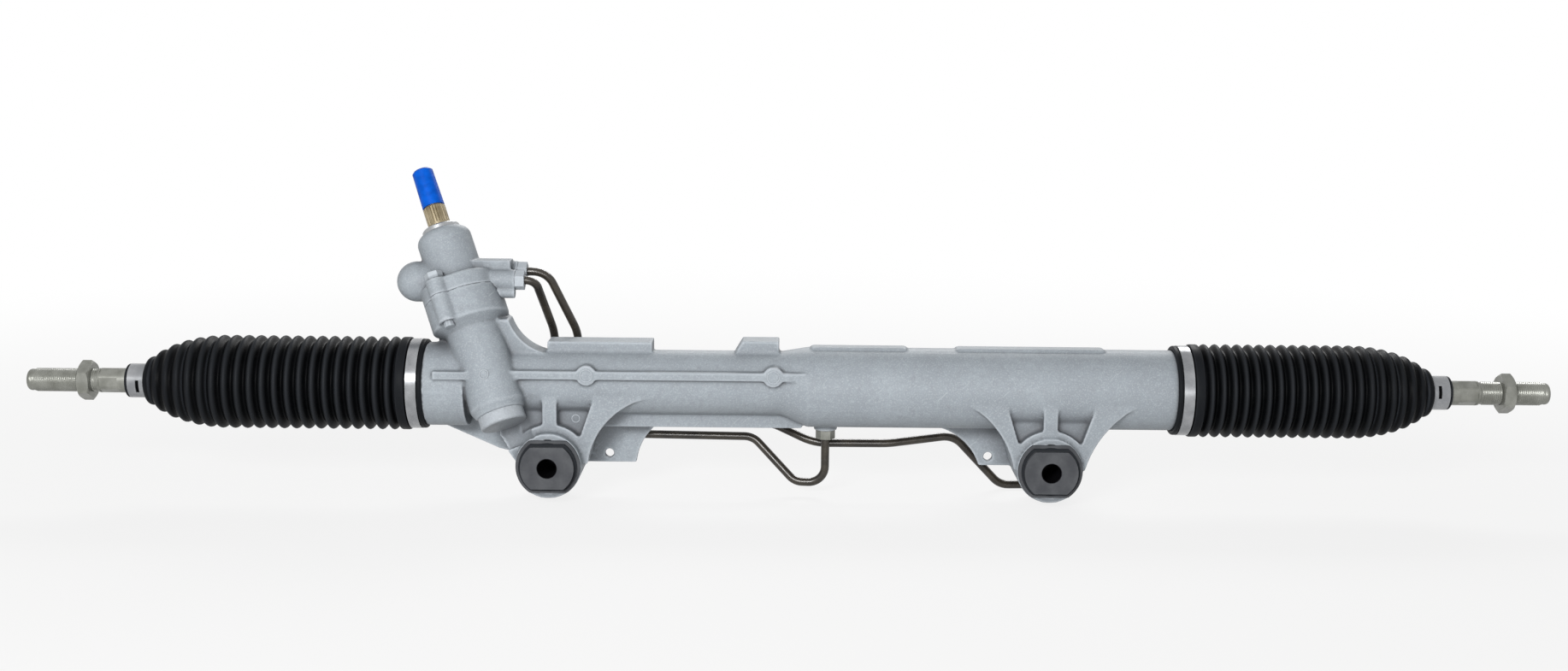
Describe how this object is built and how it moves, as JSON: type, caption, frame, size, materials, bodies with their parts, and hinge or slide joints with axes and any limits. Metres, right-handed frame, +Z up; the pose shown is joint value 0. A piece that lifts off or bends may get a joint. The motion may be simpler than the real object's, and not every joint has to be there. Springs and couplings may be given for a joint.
{
  "type": "steering rack",
  "caption": "Hydraulic rack-and-pinion steering gear: toothed rack in a cast housing with mounting eyes, tilted pinion and valve tower, bellows boots and threaded tie rods.",
  "frame": {"origin": "midway between the two mounting bolt holes, on the upright plane through the rack's axis", "axes": "+X along the rack, from the pinion's end to the cylinder's end; +Z up, from the mounting holes to the rack; +Y to the back, along the mounting bolts"},
  "size_m": [1.168, 0.1007, 0.2504],
  "materials": {
    "cast_aluminium": "satin silver-grey paint on a sand-rough casting",
    "bare_steel": "ground or machined",
    "zinc_steel": "yellowish zinc plating",
    "clamp_steel": "bright stainless strip",
    "golden_steel": "yellow passivated",
    "dark_steel": "black oxide",
    "pipe_steel": "dark olive coating",
    "bushing_steel": "grey phosphate",
    "bearing_bronze": "sintered bronze",
    "black_rubber": "matt moulded rubber",
    "ring_plastic": "natural bearing plastic",
    "blue_plastic": "moulded blue plastic"
  },
  "bodies": {
    "housing": {"rack_housing": "cast_aluminium", "valve_housing": "cast_aluminium", "valve_housing_bolts": "bare_steel", "left_bushing_sleeve": "bushing_steel", "left_bushing_rubber": "black_rubber", "left_bushing_tube": "bushing_steel", "right_bushing_sleeve": "bushing_steel", "right_bushing_rubber": "black_rubber", "right_bushing_tube": "bushing_steel", "inner_rack_bush": "bearing_bronze", "inner_rack_seal": "black_rubber", "outer_rack_seal": "black_rubber", "rack_end_bush": "bearing_bronze", "rack_end_ring": "bare_steel", "rack_guide": "cast_aluminium", "guide_disc_spring": "bare_steel", "guide_adjuster_plug": "cast_aluminium", "guide_lock_nut": "bare_steel", "lower_bearing_outer_ring": "bare_steel", "pinion_journal_bush": "bearing_bronze", "pinion_oil_seal": "black_rubber", "pinion_end_plug": "dark_steel", "input_shaft_bearing": "bare_steel", "input_shaft_seal": "black_rubber", "dust_ring": "bare_steel", "left_boot": "black_rubber", "right_boot": "black_rubber", "left_large_clamp": "clamp_steel", "right_large_clamp": "clamp_steel", "left_chamber_pipe": "pipe_steel", "right_chamber_pipe": "pipe_steel", "valve_pipe_nuts": "zinc_steel", "cylinder_pipe_nuts": "zinc_steel"},
    "rack": {"rack_bar": "bare_steel", "piston": "bare_steel", "piston_ring": "ring_plastic", "left_lock_washer": "zinc_steel", "right_lock_washer": "zinc_steel", "left_inner_socket": "bare_steel", "right_inner_socket": "bare_steel"},
    "pinion": {"pinion": "bare_steel", "lower_bearing_inner_ring": "bare_steel", "pinion_lock_nut": "bare_steel", "valve_sleeve": "golden_steel", "valve_seal_rings": "ring_plastic"},
    "input_shaft": {"input_shaft": "golden_steel", "torsion_bar": "bare_steel", "torsion_bar_pin": "bare_steel"},
    "spline_cap": {"spline_cap": "blue_plastic"},
    "left_ball_seat": {"left_ball_seat": "ring_plastic"},
    "right_ball_seat": {"right_ball_seat": "ring_plastic"},
    "left_tie_rod": {"left_tie_rod": "zinc_steel", "left_jam_nut": "zinc_steel", "left_small_clamp": "clamp_steel"},
    "right_tie_rod": {"right_tie_rod": "zinc_steel", "right_jam_nut": "zinc_steel", "right_small_clamp": "clamp_steel"}
  },
  "joints": [
    {"name": "rack_slide", "type": "slide", "parent": "housing", "child": "rack", "axis": [1, 0, 0], "range_m": [-0.0665, 0.0835], "deforming": ["left_boot", "right_boot"]},
    {"name": "pinion_turn", "type": "hinge", "parent": "housing", "child": "pinion", "pos_m": [-0.236, -0.01647, 0.06366], "axis": [-0.342, 0.352, 0.8713], "range_deg": [-545, 434]},
    {"name": "valve_twist", "type": "hinge", "parent": "pinion", "child": "input_shaft", "pos_m": [-0.26473, 0.0131, 0.13684], "axis": [-0.342, 0.352, 0.8713], "range_deg": [-5, 5], "stiffness_Nm_per_rad": 90},
    {"name": "cap_pull_off", "type": "slide", "parent": "input_shaft", "child": "spline_cap", "axis": [-0.342, 0.352, 0.8713], "range_m": [0, 0.035]},
    {"name": "left_fore_aft_swing", "type": "hinge", "parent": "rack", "child": "left_ball_seat", "pos_m": [-0.4265, 0, 0.057], "axis": [0, 0, 1], "range_deg": [-15, 15]},
    {"name": "left_up_down_swing", "type": "hinge", "parent": "left_ball_seat", "child": "left_tie_rod", "pos_m": [-0.4265, 0, 0.057], "axis": [0, 1, 0], "range_deg": [-18, 18]},
    {"name": "right_fore_aft_swing", "type": "hinge", "parent": "rack", "child": "right_ball_seat", "pos_m": [0.4095, 0, 0.057], "axis": [0, 0, 1], "range_deg": [-15, 15]},
    {"name": "right_up_down_swing", "type": "hinge", "parent": "right_ball_seat", "child": "right_tie_rod", "pos_m": [0.4095, 0, 0.057], "axis": [0, 1, 0], "range_deg": [-18, 18]}
  ],
  "couplings": [
    {"joint": "pinion_turn", "follows": "rack_slide", "rad_per_m": -113.64}
  ]
}
